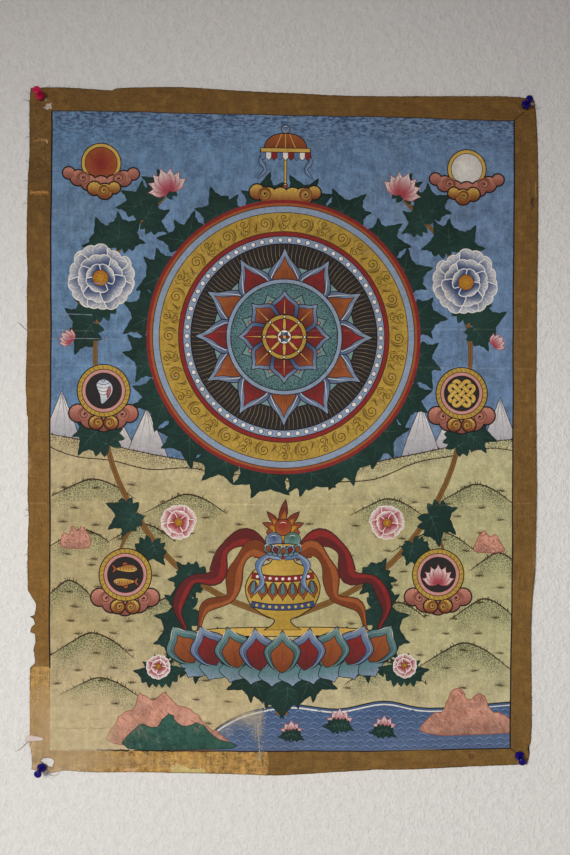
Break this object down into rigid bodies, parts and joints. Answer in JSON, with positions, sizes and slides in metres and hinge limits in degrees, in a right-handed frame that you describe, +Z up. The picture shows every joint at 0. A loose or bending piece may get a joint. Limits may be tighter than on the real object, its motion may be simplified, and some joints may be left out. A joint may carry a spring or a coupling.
{
  "type": "thangka scroll painting with push pins",
  "caption": "Unmounted painted cotton canvas with a painted border and worn, torn edges, hanging flat against a wall and held at its corners by push pins with spool-shaped heads.",
  "frame": {"origin": "on the wall plane, in the middle of the cloth's straight top line, where the wall holds the part", "axes": "+X to the viewer's right, +Y into the wall, +Z up; the painted face looks along -Y"},
  "size_m": [0.5479, 0.0246, 0.7335],
  "materials": {
    "painted_canvas": "matte distemper paint on a chalk ground over plain-weave cotton, worn and cracked, with bare cloth at the lower left",
    "pink_plastic": "gloss moulded, magenta pink",
    "blue_plastic": "gloss moulded, deep blue",
    "pin_steel": "bright drawn wire"
  },
  "bodies": {
    "root": {"canvas": "painted_canvas", "pin_head_upper_left": "pink_plastic", "pin_head_upper_right": "blue_plastic", "pin_head_lower_left": "blue_plastic", "pin_head_lower_right": "blue_plastic", "pin_needle_upper_left": "pin_steel", "pin_needle_upper_right": "pin_steel", "pin_needle_lower_left": "pin_steel", "pin_needle_lower_right": "pin_steel"}
  },
  "joints": []
}
